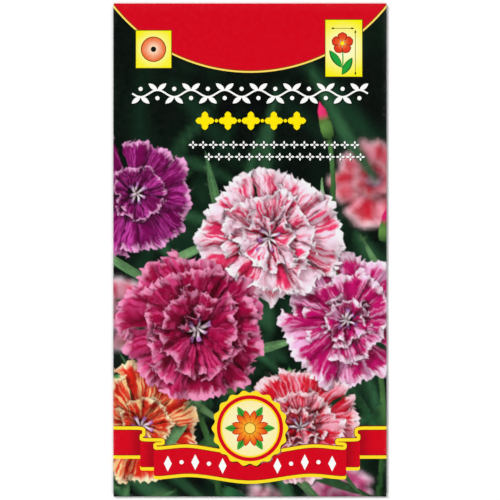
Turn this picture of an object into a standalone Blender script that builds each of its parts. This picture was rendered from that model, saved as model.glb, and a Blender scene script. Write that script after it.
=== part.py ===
"""A flat seed packet: one sheet of coated paper folded round and glued, with loose seeds inside.

The packet lies on its back. X runs across it, +Y towards its top edge and +Z out of the printed front.
The origin is under the middle of the packet, on the surface it lies on. Lengths are in metres.
"""

import math
import random

import bmesh
import bpy
from mathutils import Euler, Matrix, Vector

MM = 0.001

# Driving dimensions
WIDTH = 80 * MM
LENGTH = 144.4 * MM
PAPER = 0.16 * MM
GLUE = 0.08 * MM
GLUE_CLEAR = 0.1 * MM
LAP = 12 * MM
BULGE = 1.6 * MM
BOTTOM_FLAP = 12 * MM
TOP_FLAP = 17 * MM
SEED_COUNT = 48

# Heights of the middle of each ply above the surface below, from a flap up to the front panel
PLY_PITCH = PAPER + GLUE + 2 * GLUE_CLEAR
FRONT_CLEAR = 0.18 * MM
FLAP_Z = PAPER / 2
BACK_Z = FLAP_Z + PLY_PITCH
LAP_Z = BACK_Z + PLY_PITCH
FRONT_Z = LAP_Z + PAPER + FRONT_CLEAR

# Folds, as half rounds of the sheet's middle, and the flat stretch of front panel between them
SIDE_RADIUS = (FRONT_Z - BACK_Z) / 2
END_RADIUS = (FRONT_Z - FLAP_Z) / 2
SIDE_TURN = math.pi * SIDE_RADIUS
END_TURN = math.pi * END_RADIUS
HALF_FLAT = WIDTH / 2 - SIDE_RADIUS - PAPER / 2
HALF_LENGTH = LENGTH / 2 - END_RADIUS - PAPER / 2

# Cuts in the blank: the side panels end just short of the end folds, the flaps just short of the side folds
END_RELIEF = 0.25 * MM
FLAP_INSET = 0.25 * MM
FLAP_TAPER = 6 * MM
FLAP_CORNER = 3 * MM
FLAP_ROUNDING = 0.3

# The right back panel steps up over the left one's edge, and runs on inside it
JOG_START = LAP / 2 + 0.8 * MM
JOG_LENGTH = 4 * MM

# Lines of vertices in each stretch of the sheet
FOLD_STEPS = 6
END_STEPS = 8
FRONT_COLUMNS = 14
BACK_COLUMNS = 3
JOG_COLUMNS = 4
BODY_ROWS = 18
FLAP_ROWS = 5

# The bulge over the seeds: how far it takes to rise from each end, and how square its arch is
BULGE_RISE_BOTTOM = 44 * MM
BULGE_RISE_TOP = 66 * MM
ARCH_POWER = 2.2

# Glue lines: their sizes, and how far down its flap each flap's line lies, as a share of the flap
SEAM_GLUE_WIDTH = 4 * MM
SEAM_GLUE_MARGIN = 6 * MM
FLAP_GLUE_LENGTH = 54 * MM
FLAP_GLUE_WIDTH = 5 * MM
FLAP_GLUE_PLACE = 0.58

# Seeds: length, width and thickness of one, and the loose heap that they lie in
SEED_SIZE = (2.5 * MM, 1.9 * MM, 0.55 * MM)
SEED_CLEAR = 0.3 * MM
SEED_SPACING = 3.3 * MM
SEED_HEAP = (3 * MM, -17 * MM)
SEED_SPREAD = (13 * MM, 16 * MM)
SEED_REACH = (28 * MM, 36 * MM)
SEED_TILT = math.radians(3)

# A seed's outline, its rings from the underside to the crest as (share of reach, share of thickness), and
# the height of the hollow in its underside
SEED_SIDES = 10
SEED_POINT = 0.16
SEED_LOPSIDED = (-0.05, 0.0, 0.06)
SEED_RINGS = ((0.55, 0.05), (1.0, 0.42), (0.86, 0.68), (0.45, 0.86))
SEED_HOLLOW = 0.14


def smoothstep(t):
    t = min(max(t, 0.0), 1.0)
    return t * t * (3 - 2 * t)


def evenly(start, end, count):
    return [start * (1 - i / count) + end * i / count for i in range(count + 1)]


def bulge(x, y):
    """How far the filled packet lifts the front panel at a point."""
    arch = 1 - abs(x / HALF_FLAT) ** ARCH_POWER
    from_bottom = smoothstep((y + HALF_LENGTH) / BULGE_RISE_BOTTOM)
    from_top = smoothstep((HALF_LENGTH - y) / BULGE_RISE_TOP)
    return BULGE * arch * from_bottom * from_top


def across(u):
    """X and Z of the sheet's middle at a distance u round the packet from the front's centre line."""
    side = math.copysign(1, u)
    past_front = abs(u) - HALF_FLAT
    if past_front <= 0:
        return u, FRONT_Z
    if past_front <= SIDE_TURN:
        angle = past_front / SIDE_RADIUS
        x = HALF_FLAT + SIDE_RADIUS * math.sin(angle)
        return side * x, FRONT_Z - SIDE_RADIUS + SIDE_RADIUS * math.cos(angle)
    x = side * (HALF_FLAT - (past_front - SIDE_TURN))
    if side < 0:
        return x, BACK_Z
    climb = smoothstep((JOG_START + JOG_LENGTH - x) / JOG_LENGTH)
    return x, BACK_Z + (LAP_Z - BACK_Z) * climb


def along_flap(s):
    """How far in from the end fold a flap's point lies, and its Z, at a distance s past the front panel."""
    if s <= END_TURN:
        angle = s / END_RADIUS
        return -END_RADIUS * math.sin(angle), FRONT_Z - END_RADIUS + END_RADIUS * math.cos(angle)
    return s - END_TURN, FLAP_Z


def flap_half_width(share):
    """A flap's half width at a share of its depth: it tapers, and its free corners are rounded."""
    straight = HALF_FLAT - FLAP_INSET - FLAP_TAPER * share
    rounding = max(0.0, (share - 1 + FLAP_ROUNDING) / FLAP_ROUNDING)
    return straight - FLAP_CORNER * (1 - math.sqrt(max(0.0, 1 - rounding**2)))


def sheet_columns():
    """Distances round the packet of the sheet's lines of vertices, from the left panel to the right one."""
    turned = HALF_FLAT + SIDE_TURN
    flap_edge = HALF_FLAT - FLAP_INSET
    jog_end = turned + HALF_FLAT - JOG_START
    jog_begin = jog_end - JOG_LENGTH
    panel_end = turned + HALF_FLAT + LAP / 2
    left = evenly(-panel_end, -turned, BACK_COLUMNS)[:-1] + evenly(-turned, -HALF_FLAT, FOLD_STEPS)
    front = evenly(-flap_edge, flap_edge, FRONT_COLUMNS)
    right = evenly(HALF_FLAT, turned, FOLD_STEPS) + evenly(turned, jog_begin, BACK_COLUMNS)[1:]
    return left + front + right + evenly(jog_begin, jog_end, JOG_COLUMNS)[1:] + [panel_end]


def add_body(sheet, columns, rows):
    """The front, side folds and back panels. The first and last rows are only as wide as the front."""
    grid = {}
    for j, y in enumerate(rows):
        for i, u in enumerate(columns):
            on_front = abs(u) <= HALF_FLAT
            if on_front or 0 < j < len(rows) - 1:
                x, z = across(u)
                grid[i, j] = sheet.verts.new((x, y, z + (bulge(x, y) if on_front else 0)))
    for i, j in grid:
        corners = [(i, j), (i + 1, j), (i + 1, j + 1), (i, j + 1)]
        if all(corner in grid for corner in corners):
            sheet.faces.new([grid[corner] for corner in corners])
    return grid


def add_flap(sheet, edge, end, depth):
    """One end flap, folded over onto the back, from the vertices along its end of the front panel."""
    distances = evenly(0, END_TURN, END_STEPS)[1:] + evenly(END_TURN, END_TURN + depth, FLAP_ROWS)[1:]
    previous = edge
    for s in distances:
        inward, z = along_flap(s)
        scale = flap_half_width(max(0.0, s - END_TURN) / depth) / flap_half_width(0)
        line = [sheet.verts.new((start.co.x * scale, end * (HALF_LENGTH - inward), z)) for start in edge]
        for k in range(len(line) - 1):
            corners = [previous[k], previous[k + 1], line[k + 1], line[k]]
            sheet.faces.new(corners if end > 0 else corners[::-1])
        previous = line


def folded_sheet():
    """The middle surface of the sheet as it is folded round the packet."""
    sheet = bmesh.new()
    columns = sheet_columns()
    body_end = HALF_LENGTH - END_RELIEF
    rows = [-HALF_LENGTH] + evenly(-body_end, body_end, BODY_ROWS) + [HALF_LENGTH]
    grid = add_body(sheet, columns, rows)
    under_flap = [i for i, u in enumerate(columns) if abs(u) < HALF_FLAT - FLAP_INSET / 2]
    add_flap(sheet, [grid[i, 0] for i in under_flap], -1, BOTTOM_FLAP)
    add_flap(sheet, [grid[i, len(rows) - 1] for i in under_flap], 1, TOP_FLAP)
    return sheet


def material(name, colour, roughness):
    made = bpy.data.materials.new(name)
    made.use_nodes = True
    shader = made.node_tree.nodes["Principled BSDF"]
    shader.inputs["Base Color"].default_value = (*colour, 1)
    shader.inputs["Roughness"].default_value = roughness
    shader.inputs["Metallic"].default_value = 0
    return made


def finished(built, name, finish):
    """A mesh from what was built, in its material."""
    mesh = bpy.data.meshes.new(name)
    built.to_mesh(mesh)
    built.free()
    mesh.materials.append(finish)
    return mesh


def place(name, mesh):
    placed = bpy.data.objects.new(name, mesh)
    bpy.context.scene.collection.objects.link(placed)
    return placed


def make_wrapper():
    finish = material("coated_paper", (0.62, 0.03, 0.08), 0.35)
    wrapper = place("wrapper", finished(folded_sheet(), "wrapper", finish))
    wrapper.data.shade_smooth()
    thickness = wrapper.modifiers.new("paper thickness", "SOLIDIFY")
    thickness.thickness = PAPER
    thickness.offset = 0
    thickness.use_even_offset = True


def glue_line(name, length, width, finish):
    """A flat line of set glue with round ends, along X."""
    built = bmesh.new()
    outline = []
    for end in (1, -1):
        for angle in evenly(-math.pi / 2, math.pi / 2, FOLD_STEPS):
            x = (length - width) / 2 + width / 2 * math.cos(angle)
            outline.append(built.verts.new((end * x, end * width / 2 * math.sin(angle), -GLUE / 2)))
    underside = built.faces.new(outline)
    raised = bmesh.ops.extrude_face_region(built, geom=[underside])["geom"]
    top = [part for part in raised if isinstance(part, bmesh.types.BMVert)]
    bmesh.ops.translate(built, verts=top, vec=(0, 0, GLUE))
    bmesh.ops.recalc_face_normals(built, faces=built.faces)
    return place(name, finished(built, name, finish))


def make_glue():
    """One line inside the lap of the back panels, and one under each flap."""
    finish = material("set_glue", (0.85, 0.83, 0.74), 0.3)
    seam = glue_line("seam_glue", LENGTH - 2 * SEAM_GLUE_MARGIN, SEAM_GLUE_WIDTH, finish)
    seam.rotation_euler.z = math.pi / 2
    seam.location.z = (BACK_Z + LAP_Z) / 2
    for name, end, depth in (("bottom_flap_glue", -1, BOTTOM_FLAP), ("top_flap_glue", 1, TOP_FLAP)):
        line = glue_line(name, FLAP_GLUE_LENGTH, FLAP_GLUE_WIDTH, finish)
        line.location.y = end * (HALF_LENGTH - depth * FLAP_GLUE_PLACE)
        line.location.z = (FLAP_Z + BACK_Z) / 2


def seed_mesh(name, lopsided, finish):
    """A flat oval seed with one blunt point, thin at its rim, crested above and hollow below."""
    length, width, thickness = SEED_SIZE
    built = bmesh.new()
    rings = []
    for reach, height in SEED_RINGS:
        ring = []
        for k in range(SEED_SIDES):
            angle = 2 * math.pi * k / SEED_SIDES
            point = SEED_POINT * max(0.0, math.cos(angle)) ** 3
            share = reach * (1 - SEED_POINT / 2 + point + lopsided * math.sin(2 * angle))
            x = length / 2 * share * math.cos(angle)
            y = width / 2 * share * math.sin(angle)
            ring.append(built.verts.new((x, y, thickness * height)))
        rings.append(ring)
    hollow = built.verts.new((0, 0, thickness * SEED_HOLLOW))
    crest = built.verts.new((0, 0, thickness))
    for k in range(SEED_SIDES):
        after = (k + 1) % SEED_SIDES
        built.faces.new((rings[0][after], rings[0][k], hollow))
        built.faces.new((rings[-1][k], rings[-1][after], crest))
        for low, high in zip(rings, rings[1:]):
            built.faces.new((low[k], low[after], high[after], high[k]))
    bmesh.ops.recalc_face_normals(built, faces=built.faces)
    mesh = finished(built, name, finish)
    mesh.shade_smooth()
    return mesh


def clear_of_step(x):
    """Whether a seed at x misses the step where one back panel runs in over the other."""
    return abs(x) > JOG_START + JOG_LENGTH + SEED_SIZE[0] or abs(x) < LAP / 2 - SEED_SIZE[0]


def seed_places(draw):
    """Points of a loose heap, densest in its middle, with none too near another."""
    places = []
    while len(places) < SEED_COUNT:
        spot = Vector((draw.gauss(0, SEED_SPREAD[0]), draw.gauss(0, SEED_SPREAD[1])))
        in_heap = (spot.x / SEED_REACH[0]) ** 2 + (spot.y / SEED_REACH[1]) ** 2 < 1
        spot += Vector(SEED_HEAP)
        apart = all((spot - other).length > SEED_SPACING for other in places)
        if in_heap and apart and clear_of_step(spot.x):
            places.append(spot)
    return places


def make_seeds():
    """The seeds lie flat inside the back, on the lap in its middle and on the single ply beside it."""
    finish = material("seed_coat", (0.025, 0.022, 0.02), 0.55)
    kinds = [seed_mesh(f"seed_kind_{n}", lopsided, finish) for n, lopsided in enumerate(SEED_LOPSIDED, 1)]
    draw = random.Random(7)
    for n, spot in enumerate(seed_places(draw), 1):
        ply_z = LAP_Z if abs(spot.x) < LAP / 2 else BACK_Z
        tilt_x = draw.uniform(-SEED_TILT, SEED_TILT)
        tilt_y = draw.uniform(-SEED_TILT, SEED_TILT)
        turn = Euler((tilt_x, tilt_y, draw.uniform(0, 2 * math.pi))).to_matrix()
        seed = place(f"seed_{n:02d}", draw.choice(kinds))
        lowest = min((turn @ vertex.co).z for vertex in seed.data.vertices)
        z = ply_z + PAPER / 2 + SEED_CLEAR - lowest
        seed.matrix_world = Matrix.Translation((spot.x, spot.y, z)) @ turn.to_4x4()


for old in list(bpy.data.objects):
    bpy.data.objects.remove(old)

make_wrapper()
make_glue()
make_seeds()
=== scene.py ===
"""A flat seed packet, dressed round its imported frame: printed and folded paper, set glue and loose seeds.

The blank of the packet is drawn flat, in millimetres: u across it and v along it from the middle of the
front. Its printed side faces out once it is folded. Everything else is in metres, in the frame's own axes.
"""

import math

import bpy
import numpy as np
from mathutils import Euler, Matrix
from mathutils.geometry import delaunay_2d_cdt


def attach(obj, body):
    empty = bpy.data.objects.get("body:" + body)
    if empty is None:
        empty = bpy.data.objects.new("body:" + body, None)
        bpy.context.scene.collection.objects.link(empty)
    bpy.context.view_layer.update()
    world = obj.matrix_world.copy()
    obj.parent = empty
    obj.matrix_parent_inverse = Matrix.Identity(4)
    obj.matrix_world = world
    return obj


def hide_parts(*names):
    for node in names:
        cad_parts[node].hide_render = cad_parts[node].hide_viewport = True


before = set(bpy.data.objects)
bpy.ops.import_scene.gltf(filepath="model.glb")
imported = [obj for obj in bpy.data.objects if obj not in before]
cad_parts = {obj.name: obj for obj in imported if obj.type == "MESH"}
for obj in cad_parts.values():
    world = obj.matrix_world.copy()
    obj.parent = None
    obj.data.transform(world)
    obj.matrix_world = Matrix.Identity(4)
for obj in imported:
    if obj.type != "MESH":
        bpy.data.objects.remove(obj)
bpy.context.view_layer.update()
scene = bpy.context.scene
scene.view_settings.view_transform = "Standard"
MM = 0.001


# Camera: a long lens straight above the packet, as on a copy stand, so its edges stay square and the view
# takes in the whole front with a narrow margin of the white surface under it.
LENS = 100
SENSOR = 36
VIEW_WIDTH = 146.05 * MM
PRINT_HEIGHT = 1.5 * MM


def link(name, data):
    made = bpy.data.objects.new(name, data)
    scene.collection.objects.link(made)
    return made


camera = link("copy_stand", bpy.data.cameras.new("copy_stand"))
camera.data.lens = LENS
camera.data.sensor_width = SENSOR
camera.data.clip_start = 0.01
camera.location = (0, 0, PRINT_HEIGHT + VIEW_WIDTH * LENS / SENSOR)
scene.camera = camera


# Wrapper, the blank: one die-cut sheet of 0.16 mm coated paper. Two side folds wrap its back panels round to
# a lap, where the right one steps up inside the left, and a flap at each end folds over the back.
PAPER = 0.16
HALF_FLAT = 39.53
HALF_LENGTH = 71.51
BACK_Z = 0.52
LAP_Z = 0.96
FRONT_Z = 1.30
SIDE_RADIUS = 0.39
END_RADIUS = 0.61
SIDE_TURN = math.pi * SIDE_RADIUS
END_TURN = math.pi * END_RADIUS
BODY_END = HALF_LENGTH - 0.25
EAR_START = BODY_END + 0.04
FLAPS = {-1: 12, 1: 17}
FLAP_EDGE = HALF_FLAT + 0.38
FLAP_TAPER = 6
FLAP_CORNER = 3
FLAP_ROUNDING = 0.3
LAP = 12
JOG_START = 6.8
JOG_LENGTH = 4
TURNED = HALF_FLAT + SIDE_TURN
PANEL_END = TURNED + HALF_FLAT + LAP / 2
JOG_END = TURNED + HALF_FLAT - JOG_START
BULGE = 1.6
BULGE_RISE_BOTTOM = 44
BULGE_RISE_TOP = 66
ARCH_POWER = 2.2
DENTS = 0.07
SLOPE_STEP = 0.02
FOLD_STEPS = 8


def smoothstep(t):
    t = np.clip(t, 0, 1)
    return t * t * (3 - 2 * t)


def lift(u, v):
    """How far the filled packet lifts its front, with a few soft dents that handling has left in it."""
    arch = np.clip(1 - np.abs(u / HALF_FLAT) ** ARCH_POWER, 0, 1)
    rise = smoothstep((v + HALF_LENGTH) / BULGE_RISE_BOTTOM) * smoothstep((HALF_LENGTH - v) / BULGE_RISE_TOP)
    dents = np.sin(0.11 * u + 0.07 * v + 1.1) * np.sin(0.05 * u - 0.12 * v) - 0.6
    clear = np.clip(1 - (u / HALF_FLAT) ** 6, 0, 1) * np.clip(1 - (v / HALF_LENGTH) ** 6, 0, 1)
    return BULGE * arch * rise + DENTS * dents * clear


def folded(u, v, off):
    """Where points of the blank lie once it is folded, in mm, and how far off the sheet's middle."""
    side = np.sign(u)
    end = np.sign(v)
    level = (np.abs(u) > HALF_FLAT - SLOPE_STEP) | (np.abs(v) > HALF_LENGTH - SLOPE_STEP)
    slope_u = (lift(u + SLOPE_STEP, v) - lift(u - SLOPE_STEP, v)) / (2 * SLOPE_STEP)
    slope_v = (lift(u, v + SLOPE_STEP) - lift(u, v - SLOPE_STEP)) / (2 * SLOPE_STEP)
    place = np.stack([u, v, FRONT_Z + lift(u, v)], 1)
    normal = np.stack([-np.where(level, 0, slope_u), -np.where(level, 0, slope_v), np.ones_like(u)], 1)

    past = np.abs(u) - HALF_FLAT
    turn = np.clip(past / SIDE_RADIUS, 0, math.pi)
    x = HALF_FLAT + SIDE_RADIUS * np.sin(turn) - np.maximum(past - SIDE_TURN, 0)
    on_jog = (LAP_Z - BACK_Z) * (side > 0) * (past > SIDE_TURN)
    share = np.clip((JOG_START + JOG_LENGTH - x) / JOG_LENGTH, 0, 1)
    tilt = -6 * share * (1 - share) / JOG_LENGTH * on_jog
    z = FRONT_Z - SIDE_RADIUS + SIDE_RADIUS * np.cos(turn) + on_jog * smoothstep(share)
    round_side = (past > 1e-6) & (np.abs(v) < (BODY_END + EAR_START) / 2)
    place[round_side] = np.stack([side * x, v, z], 1)[round_side]
    normal[round_side] = np.stack([side * np.sin(turn) + tilt, 0 * u, np.cos(turn)], 1)[round_side]

    past = np.abs(v) - HALF_LENGTH
    turn = np.clip(past / END_RADIUS, 0, math.pi)
    y = HALF_LENGTH + END_RADIUS * np.sin(turn) - np.maximum(past - END_TURN, 0)
    z = FRONT_Z - END_RADIUS + END_RADIUS * np.cos(turn)
    round_end = past > 1e-6
    place[round_end] = np.stack([u, end * y, z], 1)[round_end]
    normal[round_end] = np.stack([0 * u, end * np.sin(turn), np.cos(turn)], 1)[round_end]
    normal /= np.linalg.norm(normal, axis=1)[:, None]
    return place + off[:, None] * normal


def folds(start, turn):
    """Where the fold lines run across one turn of the sheet."""
    return [start + turn * k / FOLD_STEPS for k in range(FOLD_STEPS + 1)]


side_folds = folds(HALF_FLAT, SIDE_TURN)
end_folds = folds(HALF_LENGTH, END_TURN)
jog_folds = folds(JOG_END - JOG_LENGTH, JOG_LENGTH)


def mirrored(line, side=-1):
    return [(side * u, v) for u, v in line]


def flap_outline(end, steps=14):
    """One flap's free edge, from its right end to its left: it tapers, and its corners are rounded."""
    right = [(HALF_FLAT, BODY_END), (HALF_FLAT, EAR_START), (FLAP_EDGE, EAR_START)]
    right += [(FLAP_EDGE, v) for v in end_folds]
    for k in range(1, steps + 1):
        share = 1 - (1 - k / steps) ** 2
        bend = max(0, (share - 1 + FLAP_ROUNDING) / FLAP_ROUNDING)
        half = FLAP_EDGE - FLAP_TAPER * share - FLAP_CORNER * (1 - math.sqrt(1 - bend**2))
        right.append((half, HALF_LENGTH + END_TURN + FLAPS[end] * share))
    return [(u, end * v) for u, v in right + mirrored(right[::-1])]


def blank_outline():
    """The cut edge of the whole blank, anticlockwise, with a point wherever a fold line meets it."""
    right = side_folds[1:] + jog_folds + [PANEL_END]
    left = [-u for u in side_folds[1:]] + [-PANEL_END]
    top = [(u, BODY_END) for u in right[::-1]] + flap_outline(1) + [(u, BODY_END) for u in left]
    bottom = [(u, -BODY_END) for u in left[::-1]] + flap_outline(-1)[::-1]
    return top + bottom + [(u, -BODY_END) for u in right]


def along_line(start, end, spacing):
    """Points from start to end, no further apart than the spacing."""
    count = max(1, math.ceil(math.dist(start, end) / spacing))
    return [tuple(s + (e - s) * k / count for s, e in zip(start, end)) for k in range(count + 1)]


def finely(outline, spacing):
    """A closed outline with more points on its long sides."""
    closed = list(outline) + [outline[0]]
    return [point for a, b in zip(closed, closed[1:]) for point in along_line(a, b, spacing)[:-1]]


# Wrapper, its picture: a bed of garden pinks. A still life of petals, leaves and stems is grown here, lit,
# and looked at straight down to give the picture's colours, and then it is taken away.
def display(red, green, blue):
    """Linear colour of a display colour given from 0 to 255."""
    shares = [value / 255 for value in (red, green, blue)]
    return tuple(s / 12.92 if s <= 0.04045 else ((s + 0.055) / 1.055) ** 2.4 for s in shares) + (1.0,)


class Wire:
    """A node's output. Arithmetic on wires, numbers and tuples adds the nodes that work it out."""

    def __init__(self, socket):
        self.socket = socket
        self.tree = socket.id_data

    def __getitem__(self, name):
        return Wire(self.socket.node.outputs[name])

    def __add__(self, other):
        return step("ADD", self, other)

    def __sub__(self, other):
        return step("SUBTRACT", self, other)

    def __rsub__(self, other):
        return step("SUBTRACT", other, self)

    def __mul__(self, other):
        return step("MULTIPLY", self, other)

    def __truediv__(self, other):
        return step("DIVIDE", self, other)

    def __rtruediv__(self, other):
        return step("DIVIDE", other, self)

    def __pow__(self, other):
        return step("POWER", self, other)


def fill(node, sockets):
    """Gives each of a node's sockets its value, or a link from another node's output."""
    for name, value in sockets.items():
        if isinstance(value, Wire):
            node.id_data.links.new(value.socket, node.inputs[name])
        else:
            node.inputs[name].default_value = value


def put(tree, kind, sockets={}, output=0, **settings):
    """Adds a node and fills its sockets. Gives the wire of one of its outputs."""
    made = tree.nodes.new(kind)
    for name, value in settings.items():
        setattr(made, name, value)
    fill(made, sockets)
    return Wire(made.outputs[output]) if made.outputs else None


def maths(operation, a, b=0.0):
    tree = (a if isinstance(a, Wire) else b).tree
    return put(tree, "ShaderNodeMath", {0: a, 1: b}, operation=operation)


def vector(operation, a, b=(0, 0, 0), scale=1.0, output=0):
    return put(a.tree, "ShaderNodeVectorMath", {0: a, 1: b, 3: scale}, output, operation=operation)


def is_vector(value):
    return isinstance(value, tuple) or isinstance(value, Wire) and value.socket.type in ("VECTOR", "RGBA")


def step(operation, a, b):
    """One step of arithmetic, on two numbers, on two vectors, or on a vector and a number that scales it."""
    if is_vector(a) and is_vector(b):
        return vector(operation, a, b)
    return vector("SCALE", a, scale=b) if is_vector(a) else maths(operation, a, b)


def xyz(x, y, z):
    tree = next(value.tree for value in (x, y, z) if isinstance(value, Wire))
    return put(tree, "ShaderNodeCombineXYZ", {"X": x, "Y": y, "Z": z})


def upright(value):
    return put(value.tree, "ShaderNodeSeparateXYZ", {0: value}, "Z")


def span(value, low, high, to_low=0.0, to_high=1.0):
    return put(value.tree, "ShaderNodeMapRange", {"Value": value, 1: low, 2: high, 3: to_low, 4: to_high})


def noise(where, scale, detail=1.0, output=0):
    return put(where.tree, "ShaderNodeTexNoise", {"Vector": where, "Scale": scale, "Detail": detail}, output)


def blend(share, first, second):
    return put(share.tree, "ShaderNodeMix", {0: share, 6: first, 7: second}, 2, data_type="RGBA")


def draw(low, high, seed, kind="FLOAT"):
    """A random value for each point or instance, the same on every run."""
    first = 0 if kind == "FLOAT_VECTOR" else 2
    sockets = {"Seed": seed, first: low, first + 1: high}
    return put(seed.tree, "FunctionNodeRandomValue", sockets, first // 2, data_type=kind)


def attribute(tree, name, kind="FLOAT"):
    return put(tree, "GeometryNodeInputNamedAttribute", {"Name": name}, data_type=kind)


def store(geometry, name, value, kind="FLOAT_COLOR", domain="POINT"):
    sockets = {"Geometry": geometry, "Name": name, "Value": value}
    return put(geometry.tree, "GeometryNodeStoreNamedAttribute", sockets, data_type=kind, domain=domain)


def new_tree(name, **inputs):
    """A tree with a geometry in and out, and the wires of its inputs. These are named by kind of socket."""
    tree = bpy.data.node_groups.new(name, "GeometryNodeTree")
    for way in ("INPUT", "OUTPUT"):
        tree.interface.new_socket("Geometry", in_out=way, socket_type="NodeSocketGeometry")
    for kind, labels in inputs.items():
        for label in labels:
            tree.interface.new_socket(label, in_out="INPUT", socket_type="NodeSocket" + kind)
    return tree, put(tree, "NodeGroupInput")


def repeated(tree, count, **kept):
    """A repeat zone: the wires of the values that it keeps, and the node that takes their next ones."""
    first = tree.nodes.new("GeometryNodeRepeatInput")
    again = tree.nodes.new("GeometryNodeRepeatOutput")
    first.pair_with_output(again)
    for name, kind in kept.items():
        again.repeat_items.new(kind, name)
    fill(first, {"Iterations": count})
    return Wire(first.outputs[0]), again


def copies(n, points, turn, scale, label, number):
    """Copies of the tree's own geometry set on points, each marked with its number."""
    sockets = {"Points": points, "Instance": n["Geometry"], "Rotation": turn, "Scale": scale}
    placed = put(n.tree, "GeometryNodeInstanceOnPoints", sockets)
    marked = store(placed, label, number, "FLOAT", "INSTANCE")
    return put(n.tree, "GeometryNodeRealizeInstances", {"Geometry": marked})


def grown(source, tree, **inputs):
    """The mesh that a tree makes of an object, with each underscore of an input's name read as a space."""
    modifier = source.modifiers.new(tree.name, "NODES")
    modifier.node_group = tree
    for item in tree.interface.items_tree:
        name = item.name.replace(" ", "_")
        if name in inputs:
            modifier[item.identifier] = inputs[name]
    graph = bpy.context.evaluated_depsgraph_get()
    evaluated = source.evaluated_get(graph)
    mesh = bpy.data.meshes.new_from_object(evaluated, preserve_all_data_layers=True, depsgraph=graph)
    source.modifiers.remove(modifier)
    return mesh


def lattice_blank(name, x, y, z, along, aside):
    """A sheet of vertices that remember how far along and aside they lie."""
    rows, columns = x.shape
    mesh = bpy.data.meshes.new(name)
    index = np.arange(rows * columns).reshape(rows, columns)
    quads = np.stack([index[:-1, :-1], index[1:, :-1], index[1:, 1:], index[:-1, 1:]], -1).reshape(-1, 4)
    mesh.from_pydata(np.stack([x, y, z], -1).reshape(-1, 3).tolist(), [], quads.tolist())
    for label, values in (("along", along), ("aside", aside)):
        mesh.attributes.new(label, "FLOAT", "POINT").data.foreach_set("value", values.ravel())
    mesh.shade_smooth()
    return link(name, mesh)


def petal_blank(rows=26, columns=61, teeth=15):
    """A fan-shaped petal on a narrow claw, with a toothed edge."""
    along, aside = np.meshgrid(np.linspace(0, 1, rows), np.linspace(-1, 1, columns), indexing="ij")
    notch = np.abs((aside * teeth / 2) % 1 - 0.5) * 2
    depth = 0.05 * (0.6 + 0.8 * np.random.default_rng(1).random(columns)[None, :])
    half = 0.05 + 0.66 * along**1.3
    x = along * (1 - 0.20 * np.abs(aside) ** 2.2 * along) - depth * notch * along**10
    y = half * aside * (1 - 0.12 * along**4 * aside**2)
    z = 0.10 * np.sin(math.pi * along * 0.9) - 0.05 * aside**2 * along
    return lattice_blank("petal", x, y, z, along, aside)


def leaf_blank(name, breadth, rows=18, columns=7):
    """A leaf that tapers to both ends, folded a little along its midrib."""
    along, aside = np.meshgrid(np.linspace(0, 1, rows), np.linspace(-1, 1, columns), indexing="ij")
    half = breadth * np.sin(math.pi * along**0.8) ** 0.85 + 0.002
    z = 0.22 * along - 0.34 * along**2 + 0.5 * half * np.abs(aside)
    return lattice_blank(name, along, half * aside, z, along, aside)


def strand_blank(name, centre, radius, sides=8):
    """A round strand along a curved centre line, from arrays of its points and its radii."""
    way = np.gradient(centre, axis=0)
    way /= np.linalg.norm(way, axis=1)[:, None]
    first = np.cross(way, (0.31, 0.2, 0.93))
    first /= np.linalg.norm(first, axis=1)[:, None]
    second = np.cross(way, first)
    turn = np.linspace(0, 2 * math.pi, sides + 1)[None, :, None]
    spokes = np.cos(turn) * first[:, None] + np.sin(turn) * second[:, None]
    ring = centre[:, None] + radius[:, None, None] * spokes
    along = np.linspace(0, 1, len(centre))[:, None] + 0 * ring[..., 0]
    aside = np.linspace(-1, 1, sides + 1)[None, :] + 0 * ring[..., 0]
    return lattice_blank(name, ring[..., 0], ring[..., 1], ring[..., 2], along, aside)


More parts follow.
